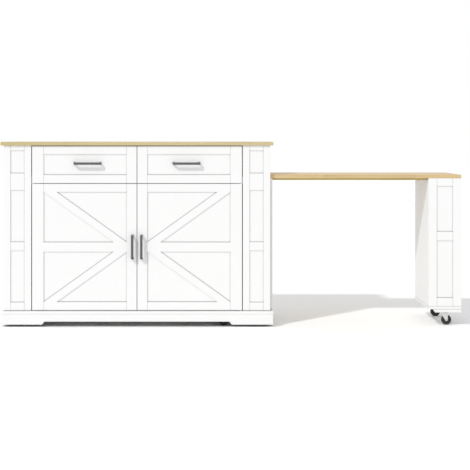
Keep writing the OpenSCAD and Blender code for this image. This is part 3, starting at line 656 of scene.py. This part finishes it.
def axle_bolt(name, axle, body):
    """The axle, with a washer and a hexagon nut at each end."""
    out = ARM_Y + FORK_T
    washer_r = 5 * MM
    washer_t = 0.5 * MM
    washer = [(AXLE_R, 0), (washer_r, 0), (washer_r, washer_t), (AXLE_R, washer_t)]
    nut = [(4.4 * MM, 0.4 * MM), (4.6 * MM, 1.3 * MM), (4.0 * MM, 1.5 * MM)]
    parts = [turned([(AXLE_R, -out), (AXLE_R, out)], axle, BACKWARD, steps=32)]
    for sign in (-1, 1):
        face = Vector((axle.x, axle.y + sign * out, axle.z))
        parts.append(turned(washer, face, (0, sign, 0), steps=32, closed=True))
        parts.append(turned(nut, face, (0, sign, 0), steps=6))
    dress(joined(name, parts, smooth=False), body, "zinc", soften=0.12 * MM)


def bearing(name, swivel, body):
    """The rolled lip of the bearing cup and the plate's four screws."""
    plate_z0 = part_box("caster_plates")[1][2] - PLATE_T
    lip_from_pin = 11.2 * MM
    lip_r = 0.8 * MM
    screw_from_pin = 16.5 * MM
    lip_section = arc((lip_from_pin, lip_r), lip_r, 0, 360, steps=11)[:-1]
    lip_at = (swivel.x, swivel.y, plate_z0 - CUP_T)
    places = [(swivel.x + sx * screw_from_pin, swivel.y + sy * screw_from_pin, plate_z0)
              for sx in (-1, 1) for sy in (-1, 1)]
    parts = [turned(lip_section, lip_at, UP, steps=48, closed=True)]
    parts += [screw_head(at, DOWN, r=2.9 * MM, rise=1.5 * MM) for at in places]
    dress(joined(name, parts), body, "zinc")


def casters():
    for i in range(1, CASTERS + 1):
        swivel = Vector(JOINTS["caster_%d_swivel" % i]["pos_m"])
        axle = Vector(JOINTS["wheel_%d_spin" % i]["pos_m"])
        wheel = "wheel_%d" % i
        body = "caster_%d" % i
        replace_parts(tyre("tyre_%d" % i, axle, wheel), "caster_wheel_%d" % i)
        hub("hub_%d" % i, axle, wheel)
        arms = fork("fork_%d" % i, swivel, axle, body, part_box("caster_fork_%d" % i))
        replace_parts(arms, "caster_fork_%d" % i)
        axle_bolt("axle_%d" % i, axle, body)
        bearing("bearing_%d" % i, swivel, JOINTS["caster_%d_swivel" % i]["parent"])


# ---- Fixings ----

def handle_screws():
    """Screws that hold the handles, on the inside of the drawers and doors."""
    end_in = 3 * MM
    drawer_wall = 12 * MM
    head_r = 4 * MM
    head_rise = 2 * MM
    for side in ("left", "right"):
        low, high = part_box(side + "_drawer_handle")
        z = (low[2] + high[2]) / 2
        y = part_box(side + "_drawer_box")[0][1] + drawer_wall
        places = [(low[0] + end_in, y, z), (high[0] - end_in, y, z)]
        screws(side + "_drawer_handle_screws", places, BACKWARD, side + "_drawer",
               head_r, head_rise)
        low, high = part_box(side + "_door_handle")
        x = (low[0] + high[0]) / 2
        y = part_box(side + "_door")[1][1]
        places = [(x, y, low[2] + end_in), (x, y, high[2] - end_in)]
        screws(side + "_door_handle_screws", places, BACKWARD, side + "_door",
               head_r, head_rise)


def back_screws():
    """Screws along the back panel's edges."""
    low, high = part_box("back_panel")
    edge = 7 * MM
    spans_x = 7
    spans_z = 4
    places = []
    for i in range(spans_x + 1):
        x = low[0] + edge + (high[0] - low[0] - 2 * edge) * i / spans_x
        places += [(x, high[1], low[2] + edge), (x, high[1], high[2] - edge)]
    for i in range(1, spans_z):
        z = low[2] + (high[2] - low[2]) * i / spans_z
        places += [(low[0] + edge, high[1], z), (high[0] - edge, high[1], z)]
    screws("back_screws", places, BACKWARD, "cabinet", r=2.6 * MM, rise=0.9 * MM)


def door_bumpers():
    """Small nylon buffers for the doors, in two pairs on the divider's front edge."""
    low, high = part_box("compartment_divider")
    x = (low[0] + high[0]) / 2
    from_middle = 4 * MM
    from_bottom = 25 * MM
    from_top = 40 * MM
    profile = [(2.8 * MM, 0), (2.8 * MM, 0.8 * MM), (2.2 * MM, 1.6 * MM), (1.2 * MM, 2.0 * MM)]
    parts = [turned(profile, (x + dx, low[1], z), FORWARD, steps=24)
             for z in (low[2] + from_bottom, high[2] - from_top)
             for dx in (-from_middle, from_middle)]
    dress(joined("door_bumpers", parts), "cabinet", "nylon")


def catch_plates():
    """Steel strikes on the doors' backs, opposite the catches."""
    low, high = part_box("door_catches")
    z = (low[2] + high[2]) / 2
    middle = (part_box("compartment_divider")[0][0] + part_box("compartment_divider")[1][0]) / 2
    from_middle = 14 * MM
    sunk = 0.1 * MM
    rise = 0.25 * MM
    stretch_x = 1.1
    stretch_z = 1.6
    outline = arc((3, 0), 2, -90, 90, steps=8) + arc((-3, 0), 2, 90, 270, steps=8)
    points = [(u * MM * stretch_x, v * MM * stretch_z) for u, v in outline]
    for side, sign in (("left", -1), ("right", 1)):
        x = middle + sign * from_middle
        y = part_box(side + "_door")[1][1]
        strike = extruded(points, -sunk, rise, lambda u, v, d: Vector((x + u, y + d, z + v)))
        dress(joined(side + "_strike", [strike]), side + "_door", "zinc")


dress_nodes()
plinth_moulding()
casters()
handle_screws()
back_screws()
door_bumpers()
catch_plates()


# ---- Floor, light and camera ----

def stage():
    """A matt floor: plain white where it is lit, and it keeps the object's shadow."""
    corners = [(x * FLOOR_HALF, y * FLOOR_HALF, 0)
               for x, y in ((-1, -1), (1, -1), (1, 1), (-1, 1))]
    floor = mesh_object("floor", corners, [[0, 1, 2, 3]])
    s = Shader("floor_matt", roughness=0.9)
    seen = s.add("ShaderNodeLightPath").outputs["Is Camera Ray"]
    tone = s.mix(seen, FLOOR, FLOOR_SEEN)
    patches = s.remap(s.noise(s.where, scale=3), 0.0, 1.0, 0.0, 0.005)
    s.colour(s.mix(patches, tone, BLACK))
    s.bsdf.inputs["Specular IOR Level"].default_value = 0.0
    floor.data.materials.append(s.material)


def sky():
    """Even light from all round, plain white where it is seen directly or in a reflection."""
    world = bpy.data.worlds.new("studio")
    bpy.context.scene.world = world
    world.use_nodes = True
    tree = world.node_tree
    background = tree.nodes["Background"]
    background.inputs["Color"].default_value = (1, 1, 1, 1)
    ray = tree.nodes.new("ShaderNodeLightPath").outputs
    seen = ray["Is Camera Ray"]
    for name in ("Is Glossy Ray", "Is Transmission Ray"):
        either = tree.nodes.new("ShaderNodeMath")
        either.operation = "MAXIMUM"
        tree.links.new(seen, either.inputs[0])
        tree.links.new(ray[name], either.inputs[1])
        seen = either.outputs[0]
    level = tree.nodes.new("ShaderNodeMapRange")
    tree.links.new(seen, level.inputs[0])
    level.inputs[3].default_value = SKY_STRENGTH
    level.inputs[4].default_value = SKY_SEEN
    tree.links.new(level.outputs[0], background.inputs["Strength"])


def sun():
    data = bpy.data.lights.new("key", "SUN")
    data.energy = SUN_STRENGTH
    data.angle = SUN_ANGLE
    lamp = bpy.data.objects.new("key", data)
    lamp.rotation_mode = "QUATERNION"
    lamp.rotation_quaternion = Vector(SUN_WAY).to_track_quat("-Z", "Y")
    bpy.context.scene.collection.objects.link(lamp)


def camera():
    """The photograph's view: level, and shifted to put the vanishing point in its place."""
    data = bpy.data.cameras.new("camera")
    data.sensor_width = SENSOR
    data.lens = SENSOR * CAMERA_DISTANCE / (IMAGE_W * METRES_PER_PIXEL)
    data.shift_x = (IMAGE_W / 2 - VANISHING_PX[0]) / IMAGE_W
    data.shift_y = (VANISHING_PX[1] - IMAGE_W / 2) / IMAGE_W
    data.clip_end = CAMERA_REACH
    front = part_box("left_door")[0][1]
    middle = (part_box("countertop")[0][0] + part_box("countertop")[1][0]) / 2
    eye = bpy.data.objects.new("camera", data)
    eye.location = (middle + CAMERA_FROM_CABINET, front - CAMERA_DISTANCE, CAMERA_HEIGHT)
    eye.rotation_euler = (math.pi / 2, 0, 0)
    bpy.context.scene.collection.objects.link(eye)
    bpy.context.scene.camera = eye


stage()
sky()
sun()
camera()
bpy.context.scene.view_settings.view_transform = "Standard"
